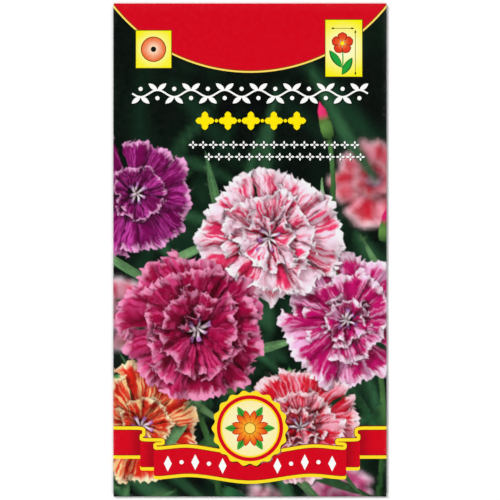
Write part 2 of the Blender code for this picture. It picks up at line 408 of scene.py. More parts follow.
def bloom_tree():
    """Petals set round a flower in rings, ruffled, crumpled and coloured from eye to edge."""
    numbers = ("Radius", "Outer Tilt", "Inner Tilt", "Inner Size", "Ruffle", "Waves", "Crumple")
    tree, n = new_tree("bloom", Int=("Petals", "Ring", "Seed"), Color=("Ground", "Streak", "Eye", "Edge"),
                       Float=numbers + ("Streaking", "Eye Size", "Edge Width"))
    index = put(tree, "GeometryNodeInputIndex")
    points = put(tree, "GeometryNodeMeshLine", {"Count": n["Petals"], "Offset": (0, 0, 0)})
    ring = maths("FLOOR", index / n["Ring"])
    inner = ring / maths("MAXIMUM", maths("FLOOR", (n["Petals"] - 1) / n["Ring"]), 1)

    def vary(low, high, offset):
        return draw(low, high, n["Seed"] + offset)

    spin = 2 * math.pi / n["Ring"] * (index + ring * 0.55) + vary(-0.09, 0.09, 1)
    tilt = span(inner, 0, 1, n["Outer Tilt"], n["Inner Tilt"]) + vary(-0.16, 0.16, 2)
    size = span(inner, 0, 1, 1.0, n["Inner Size"]) * vary(0.88, 1.08, 3) * n["Radius"]
    turn = xyz(vary(-0.3, 0.3, 4), tilt * -1, spin)
    real = copies(n, points, turn, xyz(size, size * vary(0.9, 1.15, 5), size), "petal", index)
    along = attribute(tree, "along")
    aside = attribute(tree, "aside")
    lot = attribute(tree, "petal") + n["Seed"] * 13.7

    # Folds that deepen towards the fringe, crossed by a finer crumple
    wander = aside + noise(xyz(aside * 1.3, along, lot * 3.1), 1.0) * 0.9
    fold = maths("SINE", wander * n["Waves"] + lot * 2.4) * along**1.7 * (n["Ruffle"] * n["Radius"])
    offset = put(tree, "GeometryNodeInputNormal") * fold
    ruffled = put(tree, "GeometryNodeSetPosition", {"Geometry": real, "Offset": offset})
    where = put(tree, "GeometryNodeInputPosition") + xyz(0.0, 0.0, lot * 9.0)
    crumple = (noise(where, 0.35, 2.0, "Color") - (0.5, 0.5, 0.5)) * (n["Crumple"] * n["Radius"] * along)
    crumpled = put(tree, "GeometryNodeSetPosition", {"Geometry": ruffled, "Offset": crumple})

    # Streaks and fine veins run out from the petal's base, and the eye and the fringe have ragged edges
    where = xyz(aside * 8.0, along * 0.7, lot * 5.3)
    fine = noise(where, 2.2, 4.0)
    edge = 0.78 - n["Streaking"] * 0.45
    mask = span(fine * 0.7 + noise(where, 0.32) * 0.4, edge - 0.035, edge + 0.035)
    ragged = along + (fine - 0.5) * 0.42
    rim = 1.0 - n["Edge Width"]
    tint = blend(span(ragged, rim, rim + 0.05), blend(mask, n["Ground"], n["Streak"]), n["Edge"])
    tint = blend(span(ragged, n["Eye Size"], n["Eye Size"] - 0.05), tint, n["Eye"])
    veins = span(noise(xyz(aside * 15.0, along, lot * 2.9), 1.6, 2.0), 0.3, 0.7, 0.8, 1.1)
    tinted = store(crumpled, "tint", tint * veins)
    smooth = put(tree, "GeometryNodeSetShadeSmooth", {"Geometry": tinted})
    put(tree, "NodeGroupOutput", {"Geometry": smooth})
    return tree


def foliage_tree():
    """Leaves strewn through a box, each turned, sized and coloured by its own number."""
    tree, n = new_tree("foliage", Int=("Count", "Seed"), Vector=("Low", "High"), Float=("Length", "Lean"),
                       Color=("Dark", "Light"))

    def vary(low, high, offset, kind="FLOAT"):
        return draw(low, high, n["Seed"] + offset, kind)

    points = put(tree, "GeometryNodeMeshLine", {"Count": n["Count"], "Offset": (0, 0, 0)})
    place = vary(n["Low"], n["High"], 1, "FLOAT_VECTOR")
    points = put(tree, "GeometryNodeSetPosition", {"Geometry": points, "Position": place})
    turn = xyz(vary(-0.7, 0.7, 3), vary(-1.0, 0.6, 2) * n["Lean"], vary(0.0, 2 * math.pi, 4))
    real = copies(n, points, turn, vary(0.6, 1.25, 5) * n["Length"], "leaf", vary(0.0, 1.0, 6))
    number = attribute(tree, "leaf")
    across = maths("ABSOLUTE", attribute(tree, "aside"))
    share = number + (noise(put(tree, "GeometryNodeInputPosition"), 0.12, 2.0) - 0.5)
    tint = blend(maths("MINIMUM", maths("MAXIMUM", share, 0.0), 1.0), n["Dark"], n["Light"])
    lane = xyz(across * 4.0, attribute(tree, "along"), number * 40.0)
    sheen = span(across, 0.0, 0.34, 1.35, 1.0) * span(noise(lane, 2.0, 3.0), 0.3, 0.7, 0.72, 1.22)
    put(tree, "NodeGroupOutput", {"Geometry": store(real, "tint", tint * sheen)})
    return tree


def daylight_tree():
    """Colours each point of a still life as soft daylight shows it, darker down among the leaves."""
    tree, n = new_tree("daylight", Vector=("Sun",), Int=("Rays",), Float=("Reach", "Depth", "Deepest"))
    normal = put(tree, "GeometryNodeInputNormal")
    position = put(tree, "GeometryNodeInputPosition")
    normal = normal * maths("SIGN", upright(normal) + 1e-5)
    sockets = {"Target Geometry": n["Geometry"], "Source Position": position + normal * 0.12}
    first, again = repeated(tree, n["Rays"], Open="FLOAT")
    way = draw((-1, -1, -1), (1, 1, 1), first["Iteration"], "FLOAT_VECTOR")
    way = vector("NORMALIZE", vector("NORMALIZE", way) + normal * 1.05) + (0, 0, 0.35)
    ray = put(tree, "GeometryNodeRaycast", {**sockets, "Ray Direction": way, "Ray Length": n["Reach"]})
    shut = ray["Is Hit"] * (1.0 - ray["Hit Distance"] / n["Reach"] * 0.7)
    fill(again, {"Open": first["Open"] + (1.0 - shut)})
    sky = Wire(again.outputs["Open"]) / n["Rays"]
    ray = put(tree, "GeometryNodeRaycast", {**sockets, "Ray Direction": n["Sun"], "Ray Length": 60.0})
    facing = maths("ABSOLUTE", vector("DOT_PRODUCT", normal, vector("NORMALIZE", n["Sun"]), output="Value"))
    light = sky**1.2 * 0.85 + facing * (1.0 - ray["Is Hit"] * 0.8) * 0.55
    light = light * span(upright(position), n["Depth"], -2.0, n["Deepest"], 1.0)
    tint = attribute(tree, "tint", "FLOAT_COLOR")
    # Light that bounces between petals takes on their colour, so their shade is richer and not only darker
    rich = blend(maths("MINIMUM", light, 1.0), tint * tint * (1.0, 0.78, 0.88), tint)
    put(tree, "NodeGroupOutput", {"Geometry": store(n["Geometry"], "shown", rich * light)})
    return tree


def exposure_tree():
    """Each point of a lattice looks straight down at the still life and keeps the mean of what it sees."""
    tree, n = new_tree("exposure", Object=("Still Life",), Int=("Rays",), Float=("Pixel",))
    target = put(tree, "GeometryNodeObjectInfo", {"Object": n["Still Life"]}, "Geometry")
    first, again = repeated(tree, n["Rays"], Seen="VECTOR", Hits="FLOAT")
    jitter = draw((-0.5, -0.5, 0), (0.5, 0.5, 0), first["Iteration"], "FLOAT_VECTOR")
    start = put(tree, "GeometryNodeInputPosition") + jitter * n["Pixel"] + (0, 0, 90)
    sockets = {"Target Geometry": target, "Source Position": start, "Ray Direction": (0, 0, -1)}
    sockets.update({"Attribute": attribute(tree, "shown", "FLOAT_COLOR"), "Ray Length": 300.0})
    ray = put(tree, "GeometryNodeRaycast", sockets, data_type="FLOAT_COLOR")
    seen = ray["Attribute"] * ray["Is Hit"]
    fill(again, {"Seen": first["Seen"] + seen, "Hits": first["Hits"] + ray["Is Hit"]})
    one = 1.0 / n["Rays"]
    kept = store(n["Geometry"], "picture", Wire(again.outputs["Seen"]) * one)
    kept = store(kept, "cover", Wire(again.outputs["Hits"]) * one, "FLOAT")
    put(tree, "NodeGroupOutput", {"Geometry": kept})
    return tree


# Petal colours: ground, streak, eye and edge, then how much streaking, and the eye's and edge's sizes
LOOK = ("Ground", "Streak", "Eye", "Edge", "Streaking", "Eye_Size", "Edge_Width")
PETALS = {
    "blush": ((252, 218, 232), (226, 56, 108), (176, 20, 72), (255, 244, 250), 0.50, 0.34, 0.10),
    "candy": ((236, 178, 214), (190, 18, 110), (120, 0, 66), (250, 222, 238), 0.62, 0.30, 0.12),
    "magenta": ((212, 74, 134), (160, 6, 70), (88, 0, 36), (235, 153, 189), 0.62, 0.36, 0.10),
    "coral": ((248, 170, 188), (206, 22, 52), (140, 6, 34), (255, 218, 224), 0.58, 0.34, 0.12),
    "flame": ((250, 206, 150), (216, 44, 26), (150, 20, 15), (253, 230, 192), 0.62, 0.32, 0.10),
    "violet": ((192, 72, 162), (122, 0, 88), (64, 0, 46), (234, 172, 214), 0.60, 0.34, 0.10),
    "thread": ((255, 240, 245), (255, 240, 245), (240, 190, 205), (190, 120, 190), 0.2, 0.2, 0.16),
}

# Blooms: kind, place in mm, radius, petals, inner tilt in degrees, lean about X and Y, seed
PETALS_IN_RING = 5
NEAR_BLOOMS = [
    ("blush", (6, 4, 1), 21.5, 15, 50, (8, -4), 3),
    ("violet", (-34, 16, -5), 17, 10, 32, (-6, 12), 8),
    ("magenta", (-16, -23, 3), 21.5, 16, 56, (4, 5), 5),
    ("candy", (29, -21, 0), 18.5, 15, 48, (-8, -10), 11),
    ("flame", (-32, -51, -3), 17, 10, 34, (6, 10), 2),
    ("coral", (15, -52, 1), 18, 15, 50, (-4, -6), 14),
]
FAR_BLOOMS = [
    ("coral", (37, 19, -12), 13, 10, 40, (-20, -14), 21),
    ("blush", (-38, -18, -14), 11, 10, 40, (14, 20), 23),
    ("candy", (27, -73, -10), 10, 15, 45, (10, -6), 27),
    ("blush", (2, -76, -12), 9, 15, 45, (12, 6), 28),
]


def look(kind):
    """The inputs of the bloom tree that colour one kind of petal."""
    return dict(zip(LOOK, [display(*value) if isinstance(value, tuple) else value for value in PETALS[kind]]))


def bloom(kind, place, radius, petals, inner_tilt, lean, seed):
    """One flower: its petals, and the two curled styles and five stamens in its eye."""
    head = grown(petal, blooms, Petals=petals, Ring=PETALS_IN_RING, Radius=float(radius), Seed=seed,
                 Outer_Tilt=math.radians(5), Inner_Tilt=math.radians(inner_tilt), Inner_Size=0.56,
                 Ruffle=0.10, Waves=8.0, Crumple=0.17, **look(kind))
    threads = grown(thread, blooms, Petals=7, Ring=7, Radius=radius * 0.34, Seed=seed + 1,
                    Outer_Tilt=math.radians(58), Inner_Tilt=math.radians(58), Inner_Size=1.0,
                    Ruffle=0.0, Waves=1.0, Crumple=0.3, **look("thread"))
    turn = Euler((math.radians(lean[0]), math.radians(lean[1]), 0)).to_matrix().to_4x4()
    for mesh in (head, threads):
        mesh.transform(Matrix.Translation(place) @ turn)
    return [link(kind, mesh) for mesh in (head, threads)]


def strewn(blank, seed, count, low, high, length, lean, dark, light):
    mesh = grown(blank, leaves, Count=count, Low=low, High=high, Length=float(length), Lean=lean, Seed=seed,
                 Dark=display(*dark), Light=display(*light))
    return link("leaves", mesh)


def tinted_strand(start, middle, end, radius, colours, steps=16):
    """A stem, bud or stalk bent through three points. Radii and colours are spread evenly from end to end."""
    t = np.linspace(0, 1, steps)[:, None]
    centre = (1 - t) ** 2 * np.array(start) + 2 * t * (1 - t) * np.array(middle) + t**2 * np.array(end)
    radii = np.interp(t[:, 0], np.linspace(0, 1, len(radius)), radius)
    made = strand_blank("strand", centre.astype(float), radii)
    shares = np.zeros(len(made.data.vertices))
    made.data.attributes["along"].data.foreach_get("value", shares)
    rows = np.array([display(*colour) for colour in colours])
    stops = np.linspace(0, 1, len(rows))
    tint = np.stack([np.interp(shares, stops, rows[:, k]) for k in range(4)], 1)
    made.data.attributes.new("tint", "FLOAT_COLOR", "POINT").data.foreach_set("color", tint.ravel())
    return made


def bud(place, way, length, colour):
    """A closed bud: a green calyx with the petals' tip showing."""
    start = np.array(place)
    end = start + np.array(way) * length
    middle = (start + end) / 2 + (0, 0, 0.6)
    radii = [share * length for share in (0.14, 0.17, 0.18, 0.17, 0.15, 0.13, 0.12, 0.06, 0.01)]
    tints = [(60, 95, 50), (95, 135, 70), (110, 150, 80), (85, 125, 60), colour, colour, colour]
    return tinted_strand(start, middle, end, radii, tints, 22)


PITCH = 0.225
PICTURE_LOW = (-42.75, -76.5)
PICTURE_SHAPE = (634, 380)
LIGHT = {"Sun": (-0.45, 0.55, 0.9), "Reach": 9.0, "Depth": -45.0}
LIGHT_RAYS = 16


def softened(layer, reach):
    """A layer's colours and cover, spread by a bell curve as wide as its blur in mm."""
    if reach == 0:
        return layer
    margin = math.ceil(3 * reach / PITCH)
    bell = np.exp(-0.5 * (np.arange(-margin, margin + 1) * PITCH / reach) ** 2)
    bell /= bell.sum()
    for axis in (0, 1):
        edges = [(0, 0)] * 3
        edges[axis] = (margin, margin)
        padded = np.pad(layer, edges, "edge")
        layer = sum(b * np.take(padded, np.arange(layer.shape[axis]) + k, axis) for k, b in enumerate(bell))
    return layer


def exposed(parts, rays, reach, deepest):
    """What the lattice sees of some parts of the still life: linear colour times cover, and cover."""
    still = parts[0]
    chosen = {"selected_editable_objects": parts, "selected_objects": parts}
    with bpy.context.temp_override(active_object=still, **chosen):
        bpy.ops.object.join()
    light_rays, rays = ((LIGHT_RAYS, rays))
    still.data = grown(still, daylight, Rays=light_rays, Deepest=deepest, **LIGHT)
    shot = grown(film, exposure, Still_Life=still, Rays=rays, Pixel=PITCH * 1.1)
    count = PICTURE_SHAPE[0] * PICTURE_SHAPE[1]
    colour = np.zeros(count * 4, dtype=np.float32)
    cover = np.zeros(count, dtype=np.float32)
    shot.attributes["picture"].data.foreach_get("color", colour)
    shot.attributes["cover"].data.foreach_get("value", cover)
    bpy.data.objects.remove(still)
    layer = np.concatenate([colour.reshape(count, 4)[:, :3], cover[:, None]], 1)
    return softened(layer.reshape(*PICTURE_SHAPE, 4), reach)


petal = petal_blank()
narrow = leaf_blank("narrow", 0.045)
broad = leaf_blank("broad", 0.15)
curl = np.linspace(0, 1, 9)
thread_line = np.stack([curl, 0.25 * curl**2, 0.2 * np.sin(3 * curl)], 1)
thread = strand_blank("thread", thread_line, 0.045 + 0.05 * curl**6)
blooms = bloom_tree()
leaves = foliage_tree()
daylight = daylight_tree()
exposure = exposure_tree()
film_mesh = bpy.data.meshes.new("film")
film_v = PICTURE_LOW[1] + PITCH * np.arange(PICTURE_SHAPE[0])
film_u = PICTURE_LOW[0] + PITCH * np.arange(PICTURE_SHAPE[1])
film_v, film_u = np.meshgrid(film_v, film_u, indexing="ij")
film_mesh.from_pydata(np.stack([film_u.ravel(), film_v.ravel(), 0 * film_u.ravel()], 1).tolist(), [], [])
film = link("film", film_mesh)

# Leaves, from the ground up: blank, seed, count, the box that they fill, length, lean, dark and light colour
DIM_GREEN = ((8, 32, 22), (36, 78, 54))
MID_GREEN = ((12, 42, 28), (62, 108, 74))
far_parts = [
    strewn(broad, 31, 260, (-55, -85, -48), (55, 80, -24), 20, 0.9, (3, 18, 11), (18, 54, 35)),
    strewn(broad, 38, 90, (-55, -85, -34), (55, 80, -20), 13, 0.9, *DIM_GREEN),
    strewn(narrow, 32, 70, (-55, -85, -30), (55, 30, -16), 44, 0.4, *DIM_GREEN),
]
mid_parts = [
    strewn(narrow, 33, 46, (-48, -80, -16), (48, 20, -9), 40, 0.3, *MID_GREEN),
    strewn(broad, 36, 16, (-46, -82, -18), (46, 0, -10), 26, 0.3, *MID_GREEN),
]
mid_parts += [part for row in FAR_BLOOMS for part in bloom(*row)]
STEM = [(96, 140, 84), (66, 108, 60), (40, 76, 44)]
near_parts = [part for row in NEAR_BLOOMS for part in bloom(*row)] + [
    strewn(narrow, 34, 26, (-46, -78, -8), (46, 8, -4), 32, 0.2, (40, 84, 52), (128, 168, 118)),
    strewn(broad, 35, 7, (-44, -76, -11), (40, -30, -7), 17, 0.2, (34, 88, 60), (96, 150, 92)),
    tinted_strand((23, 33, -3), (26, 16, -6), (22, -8, -9), [0.7, 0.8, 0.8], STEM),
    tinted_strand((-19, -41, -5), (-8, -58, -7), (-9, -80, -9), [0.9, 1.0, 1.0], STEM),
    tinted_strand((38, -36, -4), (41, -54, -7), (36, -80, -9), [0.8, 0.9, 0.9], STEM),
    bud((23, 33, -3), (-0.25, 0.93, 0.2), 11, (225, 60, 120)),
    bud((-6, -42, -2), (0.35, 0.9, 0.25), 10, (250, 215, 170)),
    bud((39, 3, -3), (0.1, 0.95, 0.3), 10, (205, 30, 110)),
]

# Layers, from the ground up: their parts, rays from each point, blur in mm, and the light at the deepest
LAYERS = ((far_parts, 4, 1.5, 0.25), (mid_parts, 6, 0.55, 0.3), (near_parts, 16, 0, 0.3))
picture = np.broadcast_to(display(4, 20, 12)[:3], (*PICTURE_SHAPE, 3))
for values in LAYERS:
    layer = exposed(*values)
    picture = layer[..., :3] + picture * (1 - layer[..., 3:])
picture = 0.9 * np.clip(picture, 0, 1) ** 1.15
for helper in (petal, narrow, broad, thread, film):
    bpy.data.objects.remove(helper)


# Wrapper, its printing plates: every flat or shaded shape on the sheet, in the order it is printed. A mark
# is one closed outline and its ink, which is one colour or is worked out from the place and the ink below.
PRINT_LIGHT = 1.1
WHITE = (252, 252, 250)
RED = (213, 0, 27)
DEEP_RED = (125, 0, 14)
YELLOW = (255, 232, 0)
GOLD = (255, 222, 100)
BLACK = (22, 18, 18)
PALE = (247, 245, 236)
BLEED = 1.6


def ink(*colour):
    """The albedo that reads as a display colour in the scene's light."""
    return np.array(display(*colour)[:3]) / PRINT_LIGHT


def picture_ink(u, v, below=None):
    """The picture's colour at points of the blank, read between the points of its lattice."""
    column = np.clip((u - PICTURE_LOW[0]) / PITCH, 0, PICTURE_SHAPE[1] - 1.001)
    row = np.clip((v - PICTURE_LOW[1]) / PITCH, 0, PICTURE_SHAPE[0] - 1.001)
    i, j = row.astype(int), column.astype(int)
    a, b = (row - i)[..., None], (column - j)[..., None]
    lower = picture[i, j] * (1 - b) + picture[i, j + 1] * b
    upper = picture[i + 1, j] * (1 - b) + picture[i + 1, j + 1] * b
    return (lower * (1 - a) + upper * a) / PRINT_LIGHT


def shaded(inner, outer, centre, reach):
    """An ink that runs from one colour at a centre to another at the reach from it."""
    def at(u, v, below):
        share = smoothstep(np.hypot(u - centre[0], v - centre[1]) / reach)[..., None]
        return ink(*inner) * (1 - share) + ink(*outer) * share
    return at


def shadow(u, v, below):
    return below * 0.30


def box(low_u, low_v, high_u, high_v):
    return [(low_u, low_v), (high_u, low_v), (high_u, high_v), (low_u, high_v)]


def polar(centre, reach, angle):
    return centre[0] + reach * math.cos(angle), centre[1] + reach * math.sin(angle)


def disc(centre, radius, sides=48, lobes=0, depth=0.0):
    """A round outline, or one with lobes that dip by a share of its radius."""
    angles = [2 * math.pi * k / sides for k in range(sides)]
    return [polar(centre, radius * (1 - depth * (0.5 - 0.5 * math.cos(lobes * a))), a) for a in angles]


def leaf(base, length, width, degrees, points=8, point=1.0):
    """A leaf or petal outline from its base. A point above 1 makes it broadest nearer its tip."""
    cos, sin = math.cos(math.radians(degrees)), math.sin(math.radians(degrees))
    shares = [k / points for k in range(points + 1)]
    rim = [(length * share, width / 2 * math.sin(math.pi * share**point) ** 0.8) for share in shares]
    rim += [(x, -y) for x, y in rim[-2:0:-1]]
    return [(base[0] + x * cos - y * sin, base[1] + x * sin + y * cos) for x, y in rim]


def stroke(line, width):
    """The outline of a line drawn with a pen of one width."""
    line = np.array(line, dtype=float)
    way = np.gradient(line, axis=0)
    way /= np.linalg.norm(way, axis=1)[:, None]
    out = np.stack([-way[:, 1], way[:, 0]], 1) * width / 2
    return [tuple(p) for p in line + out] + [tuple(p) for p in (line - out)[::-1]]


marks = []


def mark(outline, colour, panel=0):
    """Adds a mark. One for a back panel, -1 or 1, is given as it lies on the folded back, by x and v."""
    if panel:
        middle = 2 * HALF_FLAT + SIDE_TURN
        outline = [(panel * middle - x, v) for x, v in outline]
    marks.append((outline, colour if callable(colour) else ink(*colour)))


def framed(low_u, low_v, high_u, high_v, edge, colour, line=0.2, panel=0):
    """A board with a thin line of another colour round it."""
    mark(box(low_u, low_v, high_u, high_v), edge, panel)
    mark(box(low_u + line, low_v + line, high_u - line, high_v - line), colour, panel)


def raised(outlines, colour, drop=0.36):
    """Marks that stand out from the picture over a shadow of themselves."""
    for outline in outlines:
        mark([(u + drop, v - drop) for u, v in outline], shadow)
    for outline in outlines:
        mark(outline, colour)


# The picture bleeds round the folds, and the header's red runs on over the top fold
HEADER_TOP = HALF_LENGTH + END_TURN + BLEED
mark(box(-TURNED - BLEED, -HEADER_TOP, TURNED + BLEED, HEADER_TOP), picture_ink)
ARC_CENTRE = 103.0
ARC_RADIUS = 50.45


def header(radius):
    reach = math.asin(min(1, (TURNED + BLEED) / radius))
    arc = [(radius * math.sin(a), ARC_CENTRE - radius * math.cos(a)) for a in np.linspace(-reach, reach, 121)]
    arc = [point for point in arc if point[1] < HEADER_TOP]
    return arc + [(arc[-1][0], HEADER_TOP), (arc[0][0], HEADER_TOP)]


mark(header(ARC_RADIUS + 0.8), GOLD)
mark(header(ARC_RADIUS + 0.3), (150, 45, 5))
mark(header(ARC_RADIUS), RED)

# Sowing signs, one in each shoulder: a sun for full light, and a small plant with its size lines
SIGN_EDGE = (70, 52, 8)
SIGN_YELLOW = (250, 240, 0)
LEAF_GREEN = (30, 160, 55)
SUN = (-28.2, 58.65)
framed(-33.5, 53.0, -22.8, 64.3, SIGN_EDGE, shaded((255, 255, 205), SIGN_YELLOW, SUN, 6.6))
mark(disc(SUN, 3.7), (112, 40, 22))
mark(disc(SUN, 3.45), shaded((255, 232, 200), (238, 108, 40), SUN, 3.5))
mark(disc(SUN, 0.8, 24), BLACK)
SPRIG = (27.0, 60.4)
framed(21.85, 50.45, 32.95, 67.45, SIGN_EDGE, shaded((255, 255, 215), SIGN_YELLOW, (27.2, 59.0), 9.0))
mark(stroke([(27.0, 58.8), (27.15, 56.5), (27.1, 53.6), (26.9, 51.2)], 0.34), LEAF_GREEN)
for base, degrees, length in (((26.9, 53.2), 126, 6.4), ((27.0, 51.2), 60, 5.8)):
    mark(leaf(base, length, 2.2, degrees), (18, 96, 34))
    mark(leaf((base[0], base[1] + 0.2), length - 0.5, 1.6, degrees), LEAF_GREEN)
for degrees in range(90, 450, 72):
    mark(leaf(SPRIG, 3.3, 2.9, degrees, 10, 1.7), (150, 30, 20))
    base = polar(SPRIG, 0.15, math.radians(degrees))
    mark(leaf(base, 2.9, 2.4, degrees, 10, 1.7), shaded((250, 150, 60), (226, 52, 26), SPRIG, 2.3))
mark(disc(SPRIG, 0.55, 16), YELLOW)
mark(box(23.9, 64.7, 30.2, 64.85), BLACK)
mark(box(30.7, 51.2, 30.85, 64.1), BLACK)
for tip, degrees in (((23.6, 64.77), 0), ((30.5, 64.77), 180), ((30.78, 50.95), 90), ((30.78, 64.35), -90)):
    mark(leaf(tip, 1.1, 0.6, degrees, 3, 1.9), BLACK)

# A border of leafy scroll at the head, a row of quatrefoils under it, and two fine rows of crosses
VINE_V = 45.7
CREST_PITCH = 4.915
vine_us = np.linspace(-34.4, 34.4, 160)
vine = [stroke([(u, VINE_V + 1.0 * math.sin(math.pi * u / CREST_PITCH)) for u in vine_us], 0.5)]
for k in range(14):
    crest = (k - 6.5) * CREST_PITCH
    up = 1 if k % 2 else -1
    vine += [leaf((crest, VINE_V + up * 0.9), 3.3, 1.35, degrees) for degrees in (up * 38, 180 - up * 38)]
    vine.append(disc((crest, VINE_V - up * 1.35), 0.62, 16))
raised(vine, WHITE)
ROW_V = 37.7
row = []
for k in range(5):
    centre = (0.25 + (k - 2) * 6.7, ROW_V)
    row += [leaf(centre, 2.75, 1.9, 90 * turn, 8, 1.4) for turn in range(4)]
    row += [leaf(centre, 1.75, 0.7, 45 + 90 * turn, 6) for turn in range(4)]
    if k < 4:
        row.append(disc((centre[0] + 3.35, ROW_V), 0.5, 16))
raised(row, YELLOW)
fine = []
for first, v, count in ((-16.6, 30.65, 17), (-12.0, 27.15, 16)):
    for u in first + 2.95 * np.arange(count):
        fine += [leaf((u - 0.18, v), 1.15, 0.62, 180), leaf((u + 0.18, v), 1.15, 0.62, 0)]
        fine += [leaf((u, v + 0.2), 0.95, 0.55, 90), leaf((u, v - 0.2), 0.95, 0.55, 270)]
raised(fine, WHITE, 0.26)

# A ribbon across the foot, each end rolled back on itself twice, with diamonds and dots along its front
RIBBON_HALF = 4.15
RIBBON_EDGE = 0.95
EDGE_SHADE = 0.2
RIBBON_CORNER = (1.6, 1.3)
RIBBON_YELLOW = (255, 224, 36)
ROLL_RED = (172, 0, 22)
ROLL_INSIDE = (84, 10, 12)
ROLL_INSET = 0.35


def ribbon_line(u):
    """The middle line of the ribbon's front, which dips at its centre and again towards its ends."""
    return -63.7 + 2.0 * smoothstep(abs(u) / 18) - 0.75 * smoothstep((abs(u) - 18) / 10)


def ribbon_top(u):
    """The upper edge of the ribbon's front, which is a little further from its foot towards its ends."""
    return ribbon_line(u) + RIBBON_HALF + 0.4 * smoothstep((abs(u) - 10) / 12)


def flowing(points, rounds=3):
    """A line whose corners are cut off again and again, until it flows."""
    line = np.array(points, dtype=float)
    for _ in range(rounds):
        cut = np.stack([0.75 * line[:-1] + 0.25 * line[1:], 0.25 * line[:-1] + 0.75 * line[1:]], 1)
        line = np.concatenate([line[:1], cut.reshape(-1, 2), line[-1:]])
    return [tuple(point) for point in line]


def rolling(bright, dark):
    """Red that darkens from one distance out along the ribbon to another, where it rolls over."""
    def at(u, v, below):
        share = smoothstep((np.abs(u) - bright) / (dark - bright))[..., None]
        return ink(*RED) * (1 - share) + ink(*ROLL_RED) * share
    return at


def corner(side_u, foot):
    """The rounded corner in which a length's foot meets its side."""
    return flowing([(side_u - RIBBON_CORNER[0], foot), (side_u, foot), (side_u, foot + RIBBON_CORNER[1])])


def edging(line):
    """The ribbon's yellow edge, over a dark line that shows on both its sides."""
    mark(stroke(line, RIBBON_EDGE + 2 * EDGE_SHADE), DEEP_RED)
    mark(stroke(line, RIBBON_EDGE), RIBBON_YELLOW)


def layers(colour):
    """What is printed over each other along a foot: how far it stops above the edge's middle, and its ink."""
    half = RIBBON_EDGE / 2
    return (-half, RIBBON_YELLOW), (half, DEEP_RED), (half + EDGE_SHADE, colour)


# The two lengths of each end, from the packet's edge inwards: top, foot, where it rolls over, where the
# roll's tip is, how high it comes back, and how far from the tip it starts to bend
ENDS = ((-52.0, -60.5, 32.1, 31.0, -54.1, 5.0), (-55.45, -63.95, 28.1, 25.4, -56.6, 1.2))
FRONT_TOP = float(ribbon_top(ENDS[1][2]))
for side in (-1, 1):
    reach = TURNED + BLEED
    start = (reach, ENDS[0][0])
    for (top, foot, roll, tip, back, bend), next_top in zip(ENDS, (ENDS[1][0], FRONT_TOP)):
        turn = (tip, 0.4 * top + 0.6 * back)
        curl = (roll - ROLL_INSET, (back + next_top) / 2)
        over = flowing([start, (start[0] - 0.02, top), (tip + bend, top), (tip, top), turn])
        over += flowing([turn, (tip, back), (curl[0], back), curl])[1:]
        mark(mirrored(box(tip + 0.3, next_top, roll, back), side), ROLL_INSIDE)
        for rise, colour in layers(rolling(roll + 4, roll)):
            below = [(roll, foot + rise)] + corner(reach, foot + rise) + [(reach, top)]
            mark(mirrored(over + below, side), colour)
        edging(mirrored(over, side))
        start, reach = curl, roll
front_us = np.linspace(RIBBON_CORNER[0] - reach, reach - RIBBON_CORNER[0], 49)
upper = [(u, ribbon_top(u)) for u in front_us]
shoulder = flowing([start, (start[0] - 0.02, FRONT_TOP), upper[-1]])
upper = mirrored(shoulder) + upper[1:-1] + shoulder[::-1]
for rise, colour in layers(RED):
    foot = [(u, ribbon_line(u) - RIBBON_HALF + rise) for u in front_us]
    right = [(reach, FRONT_TOP)] + corner(reach, foot[-1][1])[::-1]
    mark(upper + right + foot[-2:0:-1] + mirrored(right[::-1]), colour)
edging(upper)
for k in (0, 1, 2, 3, 4, 8, 9, 10, 11, 12):
    u = (k - 6) * 4.0
    v = ribbon_line(u) - 0.2
    diamond = [(u - 1.15, v), (u, v - 2.3), (u + 1.15, v), (u, v + 2.3)]
    mark(disc((u, v), 0.62, 16) if k % 2 else diamond, WHITE)

# A scalloped rosette over the ribbon's middle, with a flower of twelve petals on six leaves
ROSETTE = (0, -52.0)
ROSETTE_RADIUS = 11.2
SCALLOPS = (144, 18, 0.07)
mark(disc((0.3, -52.3), ROSETTE_RADIUS, *SCALLOPS), shadow)
mark(disc(ROSETTE, ROSETTE_RADIUS, *SCALLOPS), RIBBON_YELLOW)
mark(disc(ROSETTE, 9.7), RED)
mark(disc(ROSETTE, 8.6), RIBBON_YELLOW)
mark(disc(ROSETTE, 8.1), shaded((255, 255, 236), (252, 240, 170), ROSETTE, 8.2))
for degrees in range(0, 360, 60):
    mark(leaf(ROSETTE, 7.4, 2.5, degrees), (60, 160, 50))
    mark(leaf(ROSETTE, 7.0, 0.35, degrees, 6), (30, 100, 35))
for degrees in range(15, 375, 30):
    mark(leaf(ROSETTE, 5.5, 1.9, degrees, 8, 1.5), (190, 40, 15))
    mark(leaf(ROSETTE, 5.2, 1.5, degrees, 8, 1.5), shaded((252, 190, 40), (238, 84, 24), ROSETTE, 5.0))
mark(disc(ROSETTE, 1.7, 32), (120, 60, 10))
mark(disc(ROSETTE, 1.5, 32), GOLD)


